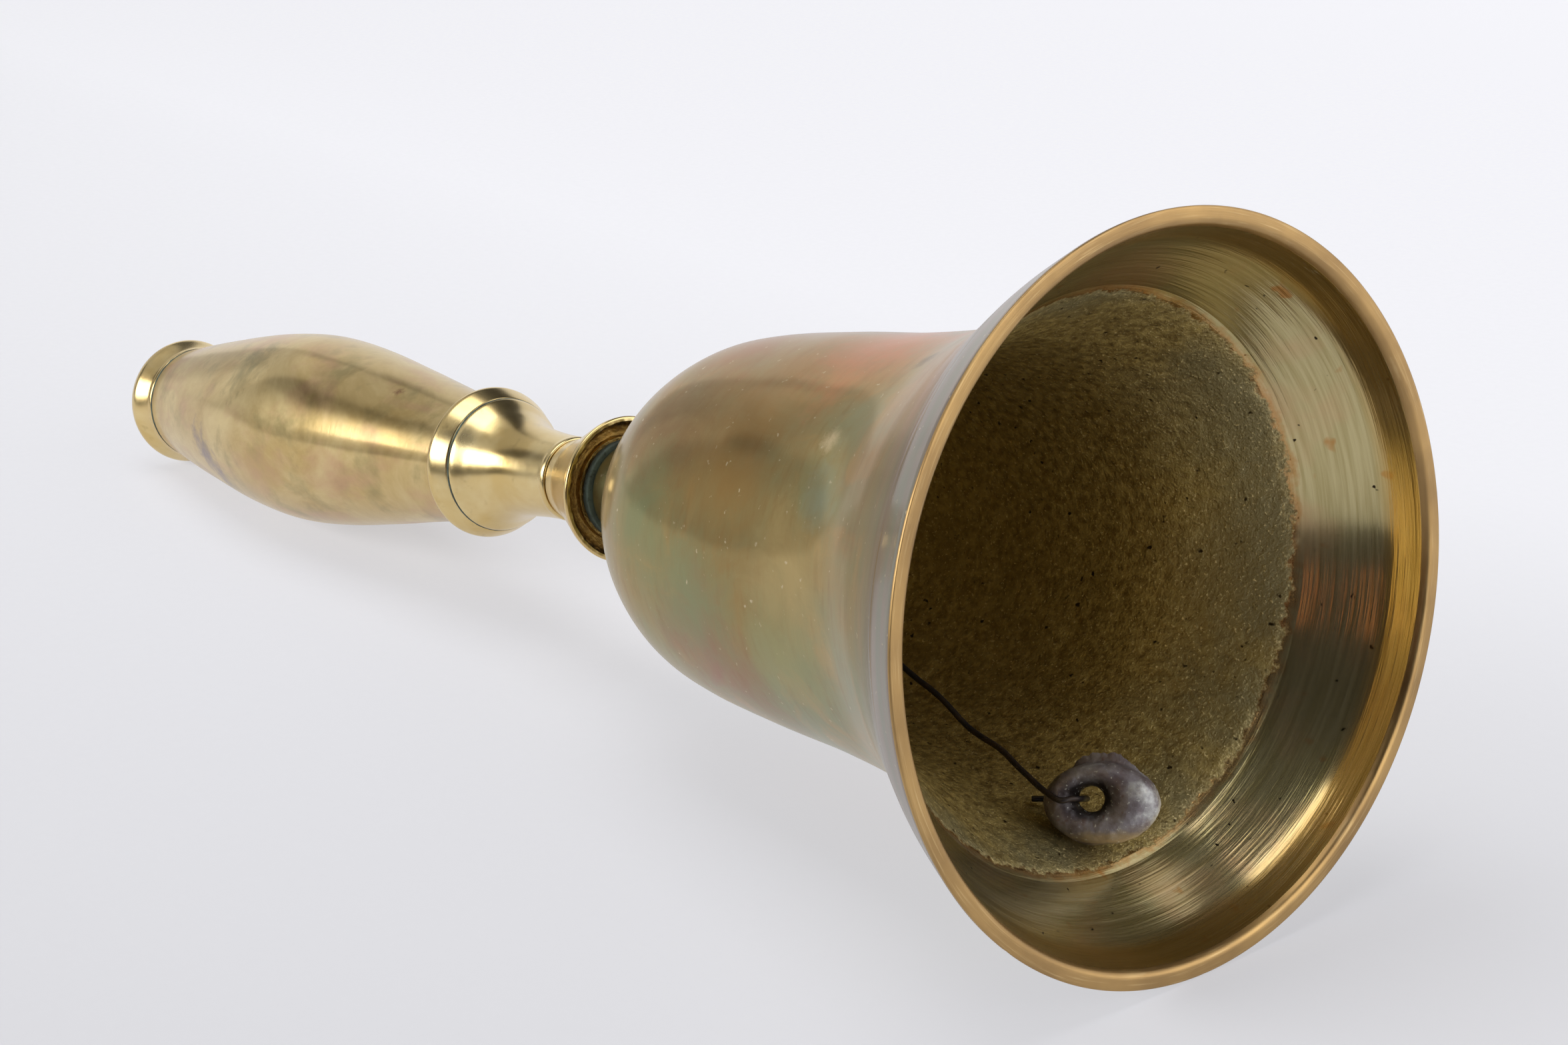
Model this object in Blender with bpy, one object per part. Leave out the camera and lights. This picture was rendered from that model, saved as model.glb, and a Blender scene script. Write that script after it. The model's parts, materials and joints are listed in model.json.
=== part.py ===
"""Brass hand bell lying on its side: turned handle pieces clamped on a tie rod, and a wire-hung lead clapper.

Every piece is made in the bell's own axes: h runs along the axis from the mouth towards the handle, and +X is
the upper side of the lying bell. One empty lays the whole bell down, on its rim and on the edge of its end cap.
Outlines are in millimetres, as (radius, h).
"""

import math

import bmesh
import bpy
from mathutils import Matrix, Vector

MM = 0.001

# Driving dimensions, in millimetres.
MOUTH_RADIUS = 50.0
LIP_WIDTH = 2.3
SHELL_HEIGHT = 121.0
CROWN_INSIDE = 108.0
BOSS_RADIUS = 7.6
WASHER_RADIUS = 8.2
WASHER_THICKNESS = 1.3
CUP_RADIUS = 11.85
CUP_TOP = 135.6
STEM_TOP = 157.9
COLLAR_RADIUS = 12.95
COLLAR_TOP = 163.0
BARREL_TOP = 270.7
CAP_EDGE_RADIUS = 12.45
CAP_EDGE_HEIGHT = 276.0
CAP_TOP = 278.0
CAP_FACE_RADIUS = 11.3
SPIGOT_RADIUS = 7.9
SPIGOT_LENGTH = 3.0
ROD_RADIUS = 3.0
ROD_END = 100.4
ROD_HEAD_RADIUS = 4.5
BORE_RADIUS = 3.4
NUT_FLATS = 10.0
NUT_HEIGHT = 4.3
INNER_WASHER_RADIUS = 7.0
INNER_WASHER_THICKNESS = 1.2
SWIVEL_NECK_RADIUS = 1.1
SWIVEL_HEAD_RADIUS = 1.65
SWIVEL_ROOM = 0.35
EYE_RING_RADIUS = 2.7
EYE_WIRE_RADIUS = 0.95
EYE_CENTRE = 96.3
WIRE_RADIUS = 0.42
RING_HALF_WIDTH = 6.9
RING_HALF_HEIGHT = 5.6
RING_HALF_THICKNESS = 2.75
RING_HOLE_RADIUS = 1.75
RING_HOLE_OFFSET = -1.0
GAP = 0.3

SHELL_SIDES = 40
HANDLE_SIDES = 32
SMALL_SIDES = 24

# The bell lies on two circles, its rim and the edge of its end cap, which sets how far its axis leans.
LEAN = math.atan2(MOUTH_RADIUS - CAP_EDGE_RADIUS, CAP_EDGE_HEIGHT)
HINGE_HEIGHT = EYE_CENTRE - EYE_RING_RADIUS + EYE_WIRE_RADIUS + WIRE_RADIUS + 0.43
RING_CENTRE = Vector((-30.0, 0.0, 18.3))
RING_FACE = Vector((0.335, -0.785, -0.521)).normalized()
RING_RIGHT = Vector((0.0205, 0.559, -0.829)).normalized()
RING_UP = RING_FACE.cross(RING_RIGHT).normalized()
WIRE_IN_RING = RING_HOLE_OFFSET - 0.95

BRASS_SATIN = ((0.60, 0.47, 0.24), 0.32, 1.0)
BRASS_POLISHED = ((0.75, 0.60, 0.30), 0.18, 1.0)
BRASS_DARK = ((0.42, 0.34, 0.19), 0.42, 1.0)
VERDIGRIS = ((0.32, 0.42, 0.36), 0.75, 0.2)
STEEL = ((0.33, 0.32, 0.31), 0.45, 1.0)
IRON = ((0.05, 0.05, 0.055), 0.5, 0.8)
LEAD = ((0.20, 0.18, 0.19), 0.6, 0.6)


def clear_scene():
    for old in list(bpy.data.objects):
        bpy.data.objects.remove(old)


def material(name, finish):
    colour, roughness, metallic = finish
    made = bpy.data.materials.new(name)
    made.use_nodes = True
    shader = made.node_tree.nodes["Principled BSDF"]
    shader.inputs["Base Color"].default_value = (*colour, 1.0)
    shader.inputs["Roughness"].default_value = roughness
    shader.inputs["Metallic"].default_value = metallic
    return made


def curve_through(points, steps):
    """Points on a Catmull-Rom curve through the given ones, with this many steps to a stretch."""
    knots = [Vector(p) for p in points]
    knots = [2 * knots[0] - knots[1], *knots, 2 * knots[-1] - knots[-2]]
    made = []
    for a, b, c, d in zip(knots, knots[1:], knots[2:], knots[3:]):
        for step in range(steps):
            t = step / steps
            made.append(
                0.5 * (2 * b + (c - a) * t + (2 * a - 5 * b + 4 * c - d) * t**2 + (3 * b - a - 3 * c + d) * t**3)
            )
    made.append(knots[-2])
    return made


def lay_down():
    """The empty that carries the bell's own axes, with the whole bell's box centred over the origin."""
    low_x = -CAP_TOP * math.cos(LEAN) - CAP_FACE_RADIUS * math.sin(LEAN)
    high_x = MOUTH_RADIUS * math.sin(LEAN)
    empty = bpy.data.objects.new("bell_axis", None)
    empty.location = Vector((-(low_x + high_x) / 2, 0, MOUTH_RADIUS * math.cos(LEAN))) * MM
    empty.rotation_euler = (0, -(math.pi / 2 + LEAN), 0)
    bpy.context.scene.collection.objects.link(empty)
    return empty


def add_object(name, data, finish, parent):
    made = bpy.data.objects.new(name, data)
    bpy.context.scene.collection.objects.link(made)
    made.data.materials.append(material(name, finish))
    made.parent = parent
    return made


def turned(name, outline, sides, finish, parent):
    """A turned piece. Its outline runs down the outside and, where the piece is bored, back up the inside.

    Flat facets face straight up and down, so the radii are taken across the flats.
    """
    mesh = bpy.data.meshes.new(name)
    across = 1 / math.cos(math.pi / sides)
    points = [(p[0] * across * MM, 0, p[1] * MM) for p in outline]
    edges = [(i, i + 1) for i in range(len(points) - 1)]
    if outline[0][0] > 0:
        edges.append((len(points) - 1, 0))
    mesh.from_pydata(points, edges, [])
    made = add_object(name, mesh, finish, parent)
    made.rotation_euler = (0, 0, math.pi / sides)
    spin = made.modifiers.new("turn", "SCREW")
    spin.steps = sides
    spin.render_steps = sides
    spin.use_merge_vertices = True
    spin.merge_threshold = 0.00001
    spin.use_smooth_shade = True
    return made


def shell_outside():
    return curve_through(
        [
            (BOSS_RADIUS, 112.8),
            (12.6, 109.4),
            (20.4, 100.0),
            (25.7, 90.0),
            (28.0, 80.0),
            (29.5, 65.0),
            (30.5, 50.0),
            (32.5, 35.0),
            (36.2, 25.0),
            (41.0, 16.2),
            (46.1, 8.0),
            (MOUTH_RADIUS, 0.5),
        ],
        2,
    )


def shell_inside():
    return curve_through(
        [
            (MOUTH_RADIUS - LIP_WIDTH, 0.4),
            (43.3, 8.0),
            (38.3, 16.2),
            (33.8, 25.0),
            (30.0, 35.0),
            (27.8, 50.0),
            (26.6, 65.0),
            (24.9, 80.0),
            (22.3, 90.0),
            (17.6, 98.5),
            (9.8, CROWN_INSIDE - 0.7),
        ],
        2,
    )


def bell_shell(parent):
    edge = 0.5
    outline = [
        (BORE_RADIUS, SHELL_HEIGHT),
        (BOSS_RADIUS - edge, SHELL_HEIGHT),
        (BOSS_RADIUS, SHELL_HEIGHT - edge),
        *shell_outside(),
        (MOUTH_RADIUS - 0.4, 0),
        (MOUTH_RADIUS - LIP_WIDTH + 0.3, 0),
        *shell_inside(),
        (8.6, CROWN_INSIDE),
        (BORE_RADIUS, CROWN_INSIDE),
    ]
    turned("bell_shell", outline, SHELL_SIDES, BRASS_DARK, parent)


def plain_washer(name, radius, bottom, thickness, finish, parent):
    top = bottom + thickness
    outline = [(BORE_RADIUS, top), (radius, top), (radius, bottom), (BORE_RADIUS, bottom)]
    turned(name, outline, SMALL_SIDES, finish, parent)


def cup_flange(parent):
    seat = SHELL_HEIGHT + GAP + WASHER_THICKNESS + GAP
    outline = [
        (BORE_RADIUS, CUP_TOP),
        (6.4, CUP_TOP),
        (6.8, CUP_TOP - 0.4),
        *curve_through([(7.0, 134.0), (8.5, 129.9), (10.7, 125.2), (11.6, 123.2)], 2),
        (CUP_RADIUS, 122.5),
        (CUP_RADIUS - 0.25, 121.95),
        (CUP_RADIUS - 0.7, 121.95),
        *curve_through([(10.8, 122.6), (9.8, 123.8), (8.7, 123.9)], 2),
        (WASHER_RADIUS + GAP, seat),
        (BORE_RADIUS, seat),
    ]
    turned("cup_flange", outline, HANDLE_SIDES, BRASS_POLISHED, parent)


def stem(parent):
    bottom = CUP_TOP + GAP
    outline = [
        (BORE_RADIUS, STEM_TOP),
        (11.0, STEM_TOP),
        *curve_through([(11.3, STEM_TOP - 0.4), (9.4, 154.3), (7.95, 149.7), (7.15, 143.0), (7.0, 137.4)], 2),
        (6.75, bottom + 0.2),
        (6.5, bottom),
        (BORE_RADIUS, bottom),
    ]
    turned("stem", outline, HANDLE_SIDES, BRASS_POLISHED, parent)


def collar_ring(parent):
    bottom = STEM_TOP + GAP
    spigot_top = COLLAR_TOP + SPIGOT_LENGTH
    outline = [
        (BORE_RADIUS, spigot_top),
        (SPIGOT_RADIUS, spigot_top),
        (SPIGOT_RADIUS, COLLAR_TOP),
        (11.4, COLLAR_TOP),
        (12.4, COLLAR_TOP - 0.3),
        (COLLAR_RADIUS, COLLAR_TOP - 1.1),
        (COLLAR_RADIUS - 0.1, COLLAR_TOP - 2.0),
        (11.7, bottom + 0.4),
        (11.3, bottom),
        (BORE_RADIUS, bottom),
    ]
    turned("collar_ring", outline, HANDLE_SIDES, BRASS_POLISHED, parent)


def barrel_grip(parent):
    bottom = COLLAR_TOP + GAP
    end_bore = SPIGOT_RADIUS + GAP
    outside = curve_through(
        [
            (11.1, BARREL_TOP - 0.3),
            (12.8, 260.5),
            (14.5, 250.0),
            (16.7, 234.0),
            (17.6, 220.0),
            (16.7, 206.5),
            (14.35, 190.0),
            (12.0, 175.0),
            (10.5, bottom + 0.3),
        ],
        2,
    )
    inside = curve_through([(end_bore, 167.5), (11.7, 190.0), (14.9, 220.0), (11.9, 250.0), (end_bore, 266.0)], 2)
    outline = [
        (end_bore, BARREL_TOP),
        (10.8, BARREL_TOP),
        *outside,
        (10.2, bottom),
        (end_bore, bottom),
        *inside,
    ]
    turned("barrel_grip", outline, HANDLE_SIDES, BRASS_SATIN, parent)


def end_cap(parent):
    bottom = BARREL_TOP + GAP
    outline = [
        (ROD_HEAD_RADIUS + 0.5, CAP_TOP),
        (CAP_FACE_RADIUS, CAP_TOP),
        (12.1, CAP_TOP - 0.6),
        (CAP_EDGE_RADIUS, CAP_EDGE_HEIGHT),
        *curve_through([(12.25, 275.0), (11.5, 273.3), (11.1, 272.0)], 2),
        (10.9, bottom),
        (SPIGOT_RADIUS, bottom),
        (SPIGOT_RADIUS, bottom - SPIGOT_LENGTH),
        (BORE_RADIUS, bottom - SPIGOT_LENGTH),
        (BORE_RADIUS, CAP_TOP - 2.0),
    ]
    turned("end_cap", outline, HANDLE_SIDES, BRASS_POLISHED, parent)


def tie_rod(parent):
    """The rod: a peened head in the end cap, and a swivel chamber for the clapper eye in its other end."""
    head_top = CAP_TOP - 0.2
    neck = SWIVEL_NECK_RADIUS + SWIVEL_ROOM
    chamber = SWIVEL_HEAD_RADIUS + SWIVEL_ROOM
    outline = [
        (0, head_top),
        (ROD_HEAD_RADIUS - 0.4, head_top),
        (ROD_HEAD_RADIUS, head_top - 0.2),
        (ROD_RADIUS, CAP_TOP - 2.0),
        (ROD_RADIUS, ROD_END + 0.3),
        (ROD_RADIUS - 0.3, ROD_END),
        (neck, ROD_END),
        (neck, ROD_END + 1.5),
        (chamber, ROD_END + 1.5),
        (chamber, ROD_END + 3.7),
        (0, ROD_END + 3.7),
    ]
    turned("tie_rod", outline, SMALL_SIDES, STEEL, parent)


def inner_nut(parent):
    top = CROWN_INSIDE - GAP - INNER_WASHER_THICKNESS - GAP
    middle = (top - NUT_HEIGHT / 2) * MM
    corner = NUT_FLATS / 2 / math.cos(math.pi / 6) * MM
    built = bmesh.new()
    bmesh.ops.create_cone(
        built, cap_ends=True, segments=6, radius1=corner, radius2=corner, depth=NUT_HEIGHT * MM
    )
    bmesh.ops.translate(built, verts=built.verts, vec=(0, 0, middle))
    mesh = bpy.data.meshes.new("inner_nut")
    built.to_mesh(mesh)
    built.clear()
    bmesh.ops.create_cone(
        built,
        cap_ends=True,
        segments=SMALL_SIDES,
        radius1=BORE_RADIUS * MM,
        radius2=BORE_RADIUS * MM,
        depth=3 * NUT_HEIGHT * MM,
    )
    bmesh.ops.translate(built, verts=built.verts, vec=(0, 0, middle))
    drill_mesh = bpy.data.meshes.new("nut_drill")
    built.to_mesh(drill_mesh)
    built.free()
    nut = add_object("inner_nut", mesh, STEEL, parent)
    drill = add_object("nut_drill", drill_mesh, STEEL, parent)
    drill.hide_render = True
    drill.display_type = "WIRE"
    bore = nut.modifiers.new("bore", "BOOLEAN")
    bore.operation = "DIFFERENCE"
    bore.object = drill


def clapper_eye(parent):
    """A small iron eye. Its headed shank turns in the end of the tie rod, about the bell's axis."""
    shank = [
        (0, ROD_END + 3.3),
        (SWIVEL_HEAD_RADIUS, ROD_END + 3.3),
        (SWIVEL_HEAD_RADIUS, ROD_END + 1.9),
        (SWIVEL_NECK_RADIUS, ROD_END + 1.9),
        (SWIVEL_NECK_RADIUS, EYE_CENTRE + EYE_RING_RADIUS - 0.5),
        (0, EYE_CENTRE + EYE_RING_RADIUS - 0.5),
    ]
    eye = turned("clapper_eye", shank, SMALL_SIDES // 2, IRON, parent)
    around, across = 28, 10
    built = bmesh.new()
    rings = []
    for i in range(around):
        turn = 2 * math.pi * i / around
        outward = Vector((math.sin(turn), 0, math.cos(turn)))
        ring = []
        for j in range(across):
            roll = 2 * math.pi * j / across
            reach = EYE_RING_RADIUS + EYE_WIRE_RADIUS * math.cos(roll)
            point = outward * reach + Vector((0, EYE_WIRE_RADIUS * math.sin(roll), EYE_CENTRE))
            ring.append(built.verts.new(point * MM))
        rings.append(ring)
    skin_closed_tube(built, rings)
    mesh = bpy.data.meshes.new("eye_ring")
    built.to_mesh(mesh)
    built.free()
    loop = add_object("eye_ring", mesh, IRON, parent)
    loop.hide_render = True
    loop.display_type = "WIRE"
    join = eye.modifiers.new("join", "BOOLEAN")
    join.operation = "UNION"
    join.object = loop


def skin_closed_tube(built, rings):
    """Faces between rings of points that close on themselves, facing outwards."""
    count = len(rings[0])
    for i, ring in enumerate(rings):
        following = rings[(i + 1) % len(rings)]
        for j in range(count):
            k = (j + 1) % count
            built.faces.new((ring[j], ring[k], following[k], following[j]))
    bmesh.ops.recalc_face_normals(built, faces=built.faces)
    for face in built.faces:
        face.smooth = True


def wire_route():
    """The clapper wire: a hook through the eye, a slightly kinked run, and a hook through the lead ring."""
    pivot = Vector((0, 0, HINGE_HEIGHT))
    along = (Vector((-17.2, -2.4, 53.9)) - pivot).normalized()
    aside = Vector((0, 1, 0))
    bend = 2.0
    eye_hook = [pivot + along * 8.5 - aside * 1.6, pivot + along * 5.0 - aside * bend]
    for step in range(9):
        turn = math.pi * (step / 8 - 0.5)
        eye_hook.append(pivot + along * bend * (1 - math.cos(turn)) + aside * bend * math.sin(turn))
    eye_hook += [pivot + along * 5.0 + aside * bend, pivot + along * 9.0 + aside * 0.8]
    run = [
        Vector((-8.3, -0.9, 74.0)),
        Vector((-17.2, -2.4, 53.9)),
        Vector((-20.0, -2.9, 46.0)),
        Vector((-23.2, -3.5, 39.5)),
        Vector((-24.9, -4.1, 32.4)),
        Vector((-26.7, -5.2, 27.0)),
    ]
    inside = RING_CENTRE + RING_RIGHT * WIRE_IN_RING
    front, back = 3.9, -3.9
    ring_hook = [
        inside + RING_FACE * front - RING_RIGHT * 3.2,
        inside + RING_FACE * (front - 0.6) - RING_RIGHT * 1.0,
        inside + RING_FACE * 1.9 - RING_RIGHT * 0.1,
        inside,
        inside - RING_FACE * 1.9 - RING_RIGHT * 0.1,
        inside + RING_FACE * (back + 0.6) - RING_RIGHT * 1.0,
        inside + RING_FACE * back - RING_RIGHT * 3.2,
        inside + RING_FACE * (back + 0.2) - RING_RIGHT * 5.6,
        inside + RING_FACE * (back + 0.9) - RING_RIGHT * 8.0 - RING_UP * 0.3,
    ]
    return curve_through(eye_hook, 1) + curve_through(run, 3) + curve_through(ring_hook, 3)


def clapper_wire(parent):
    data = bpy.data.curves.new("clapper_wire", "CURVE")
    data.dimensions = "3D"
    data.bevel_depth = WIRE_RADIUS * MM
    data.bevel_resolution = 2
    data.use_fill_caps = True
    route = wire_route()
    spline = data.splines.new("POLY")
    spline.points.add(len(route) - 1)
    pivot = Vector((0, 0, HINGE_HEIGHT))
    for point, place in zip(spline.points, route):
        point.co = (*((place - pivot) * MM), 1)
    made = add_object("clapper_wire", data, IRON, parent)
    made.location = pivot * MM


def clapper_ring(parent):
    """The lead ring: an uneven casting with an off-centre hole and a thin fin along its parting line."""
    around, across = 40, 12
    inside = Vector((WIRE_IN_RING, 0, 0))
    built = bmesh.new()
    rings = []
    for i in range(around):
        turn = 2 * math.pi * i / around
        rim = Vector((RING_HALF_WIDTH * math.cos(turn), RING_HALF_HEIGHT * math.sin(turn), 0))
        hole = Vector((RING_HOLE_OFFSET + RING_HOLE_RADIUS * math.cos(turn), RING_HOLE_RADIUS * math.sin(turn), 0))
        fin = 0.55 * abs(math.sin(turn)) * (0.7 + 0.3 * math.sin(5 * turn))
        ring = []
        for j in range(across):
            roll = 2 * math.pi * j / across
            share = 0.5 + 0.5 * math.cos(roll)
            point = hole.lerp(rim, share)
            if j == 0:
                point += point.normalized() * fin
            point.z = RING_HALF_THICKNESS * math.sin(roll)
            ring.append(built.verts.new((point - inside) * MM))
        rings.append(ring)
    skin_closed_tube(built, rings)
    mesh = bpy.data.meshes.new("clapper_ring")
    built.to_mesh(mesh)
    built.free()
    made = add_object("clapper_ring", mesh, LEAD, parent)
    turn_to_place = Matrix((RING_RIGHT, RING_UP, RING_FACE)).transposed().to_4x4()
    place = (RING_CENTRE + RING_RIGHT * WIRE_IN_RING) * MM
    made.matrix_basis = Matrix.Translation(place) @ turn_to_place


def main():
    clear_scene()
    axis = lay_down()
    bell_shell(axis)
    plain_washer("crown_washer", WASHER_RADIUS, SHELL_HEIGHT + GAP, WASHER_THICKNESS, VERDIGRIS, axis)
    cup_flange(axis)
    stem(axis)
    collar_ring(axis)
    barrel_grip(axis)
    end_cap(axis)
    tie_rod(axis)
    inner_bottom = CROWN_INSIDE - GAP - INNER_WASHER_THICKNESS
    plain_washer("inner_washer", INNER_WASHER_RADIUS, inner_bottom, INNER_WASHER_THICKNESS, STEEL, axis)
    inner_nut(axis)
    clapper_eye(axis)
    clapper_wire(axis)
    clapper_ring(axis)


main()
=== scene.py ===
import json
import math
import random

import bmesh
import bpy
from mathutils import Matrix, Vector, noise


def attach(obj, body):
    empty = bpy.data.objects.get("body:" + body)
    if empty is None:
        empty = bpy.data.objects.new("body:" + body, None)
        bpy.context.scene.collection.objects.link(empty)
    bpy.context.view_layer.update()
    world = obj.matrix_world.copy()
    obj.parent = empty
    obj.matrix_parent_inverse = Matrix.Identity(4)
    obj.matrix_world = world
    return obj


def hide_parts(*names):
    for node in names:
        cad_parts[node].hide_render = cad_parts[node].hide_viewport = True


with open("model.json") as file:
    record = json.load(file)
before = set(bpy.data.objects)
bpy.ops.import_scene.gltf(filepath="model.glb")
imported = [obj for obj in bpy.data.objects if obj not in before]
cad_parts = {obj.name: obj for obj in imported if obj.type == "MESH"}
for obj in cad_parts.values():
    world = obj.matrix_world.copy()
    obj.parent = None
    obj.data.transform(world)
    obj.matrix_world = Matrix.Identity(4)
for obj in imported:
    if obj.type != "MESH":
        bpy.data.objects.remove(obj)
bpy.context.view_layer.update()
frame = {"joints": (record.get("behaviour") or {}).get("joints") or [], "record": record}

millimetre = 0.001
joints = {joint["name"]: joint for joint in frame["joints"]}
mounts = {mount["name"]: mount for mount in frame["record"]["mounts"]}
random.seed(12)


def bellAxes():
    mouthward = Vector(joints["eye_swivel"]["axis"]).normalized()
    pivot = Vector(joints["eye_swivel"]["pos_m"])
    centre = pivot + mouthward * (Vector(mounts["mouth_lip"]["pos_m"]) - pivot).dot(mouthward)
    side = Vector((0, 1, 0))
    axes = Matrix((side.cross(-mouthward), side, -mouthward)).transposed().to_4x4()
    axes.translation = centre
    return axes  # x is the upper side of the lying bell, z runs from its mouth to its handle


bellPlace = bellAxes()
pivotHeight = (bellPlace.inverted() @ Vector(joints["eye_swivel"]["pos_m"])).z / millimetre

cameraSetup = {
    "lens": 62.14, "turn": 50.88, "pitch": 19.33, "fromMouth": (0.214706, -0.240401, 0.122445)
}


def placeCamera():
    data = bpy.data.cameras.new("viewpoint")
    data.lens = cameraSetup["lens"]
    data.sensor_width = 36
    data.clip_start = 0.01
    camera = bpy.data.objects.new("viewpoint", data)
    camera.location = bellPlace.translation + Vector(cameraSetup["fromMouth"])
    camera.rotation_euler = (
        math.radians(90 - cameraSetup["pitch"]), 0, math.radians(cameraSetup["turn"])
    )
    bpy.context.scene.collection.objects.link(camera)
    bpy.context.scene.camera = camera


placeCamera()
print("camera placed")


# small helpers for building node materials
def addNode(tree, kind, inputs=None, **settings):
    made = tree.nodes.new("ShaderNode" + kind)
    for key, value in settings.items():
        setattr(made, key, value)
    for key, value in (inputs or {}).items():
        if isinstance(value, bpy.types.NodeSocket):
            tree.links.new(value, made.inputs[key])
        else:
            made.inputs[key].default_value = value
    return made


def tone(code):
    parts = [int(code[i : i + 2], 16) / 255 for i in (0, 2, 4)]
    return (*[((p + 0.055) / 1.055) ** 2.4 if p > 0.04 else p / 12.92 for p in parts], 1)


def calc(tree, operation, first, second=0.0):
    return addNode(tree, "Math", {0: first, 1: second}, operation=operation).outputs[0]


def spread(tree, value, low, high, toLow=0.0, toHigh=1.0):
    return addNode(tree, "MapRange", {0: value, 1: low, 2: high, 3: toLow, 4: toHigh}).outputs[0]


def speckle(tree, place, scale, detail=4.0, rough=0.55, bend=0.0):
    inputs = {
        "Vector": place,
        "Scale": scale,
        "Detail": detail,
        "Roughness": rough,
        "Distortion": bend,
    }
    return addNode(tree, "TexNoise", inputs).outputs["Fac"]


def blendTones(tree, amount, first, second, kind="MIX"):
    made = addNode(tree, "Mix", {0: amount}, data_type="RGBA", blend_type=kind)
    for socket, value in ((made.inputs[6], first), (made.inputs[7], second)):
        if isinstance(value, bpy.types.NodeSocket):
            tree.links.new(value, socket)
        else:
            socket.default_value = tone(value)
    return made.outputs[2]


def blendValues(tree, amount, first, second):
    return addNode(tree, "Mix", {0: amount, 2: first, 3: second}, data_type="FLOAT").outputs[0]


def markAt(tree, place, centre, size, ragged=0.5):
    spot = [value * millimetre for value in centre]
    away = addNode(tree, "VectorMath", {0: place, 1: spot}, operation="DISTANCE").outputs["Value"]
    wander = calc(tree, "SUBTRACT", speckle(tree, place, 900 / size, 6, 0.7, 0.8), 0.5)
    reach = calc(tree, "ADD", away, calc(tree, "MULTIPLY", wander, size * ragged * 5 * millimetre))
    return spread(tree, reach, size * 0.1 * millimetre, size * 1.3 * millimetre, 1, 0)


def relief(tree, height, depth, strength=1.0, under=None):
    inputs = {"Height": height, "Distance": depth, "Strength": strength}
    if under:
        inputs["Normal"] = under
    return addNode(tree, "Bump", inputs).outputs[0]


def newMaterial(name):
    made = bpy.data.materials.new(name)
    made.use_nodes = True
    return made, made.node_tree, made.node_tree.nodes["Principled BSDF"]


def feed(tree, shader, **values):
    for key, value in values.items():
        socket = shader.inputs[key.replace("_", " ")]
        if isinstance(value, bpy.types.NodeSocket):
            tree.links.new(value, socket)
        else:
            socket.default_value = value


def addGloss(tree, haze, base, rough, normal, share):
    gloss = addNode(tree, "BsdfPrincipled")
    feed(tree, gloss, Base_Color=base, Metallic=1.0, Roughness=rough, Normal=normal)
    both = addNode(tree, "MixShader", {0: share, 1: haze.outputs[0], 2: gloss.outputs[0]})
    tree.links.new(both.outputs[0], tree.nodes["Material Output"].inputs["Surface"])


def turnedSpace(tree):
    inward = bellPlace.inverted()
    whole = addNode(tree, "TexCoord").outputs["Object"]
    moved = {0: whole, 1: inward.translation, 2: inward.to_euler()}
    place = addNode(tree, "Mapping", moved).outputs[0]  # the bell's own axes
    x, y, z = addNode(tree, "SeparateXYZ", {0: place}).outputs
    squares = calc(tree, "ADD", calc(tree, "MULTIPLY", x, x), calc(tree, "MULTIPLY", y, y))
    radius = calc(tree, "SQRT", squares)
    return {
        "place": place,
        "up": x,
        "height": z,
        "radius": radius,
        "cos": calc(tree, "DIVIDE", x, radius),
        "sin": calc(tree, "DIVIDE", y, radius),
    }


def toolLines(tree, space, pitch, drift, lean=-0.45):
    run = calc(tree, "ADD", space["height"], calc(tree, "MULTIPLY", space["radius"], lean))
    vector = addNode(
        tree,
        "CombineXYZ",
        {
            0: calc(tree, "MULTIPLY", space["cos"], drift),
            1: calc(tree, "MULTIPLY", space["sin"], drift),
            2: calc(tree, "DIVIDE", run, pitch),
        },
    ).outputs[0]
    return speckle(tree, vector, 1.0, 3.0, 0.6)  # fine rings round the axis, as a lathe leaves


# outlines are (radius, height) in millimetres, down the outside and back up the inside
def curveThrough(points, steps):
    knots = [Vector(p) for p in points]
    knots = [2 * knots[0] - knots[1], *knots, 2 * knots[-1] - knots[-2]]
    made = []
    for a, b, c, d in zip(knots, knots[1:], knots[2:], knots[3:]):
        for step in range(steps):
            t = step / steps
            squared = 2 * a - 5 * b + 4 * c - d
            cubed = 3 * b - a - 3 * c + d
            made.append(0.5 * (2 * b + (c - a) * t + squared * t**2 + cubed * t**3))
    made.append(knots[-2])
    return made


def roundEdge(before, corner, after, size, steps=4):
    before, corner, after = Vector(before), Vector(corner), Vector(after)
    start = corner + (before - corner).normalized() * size
    end = corner + (after - corner).normalized() * size
    made = []
    for step in range(steps + 1):
        t = step / steps
        made.append(start.lerp(corner, t).lerp(corner.lerp(end, t), t))
    return made


def zoned(points, zone):
    return [(p[0], p[1], zone) for p in points]


def ringFaces(around, across):
    faces = []
    for column in range(around):
        here, following = column * across, (column + 1) % around * across
        for row in range(across):
            after = (row + 1) % across
            faces.append((here + row, here + after, following + after, following + row))
    return faces


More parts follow.
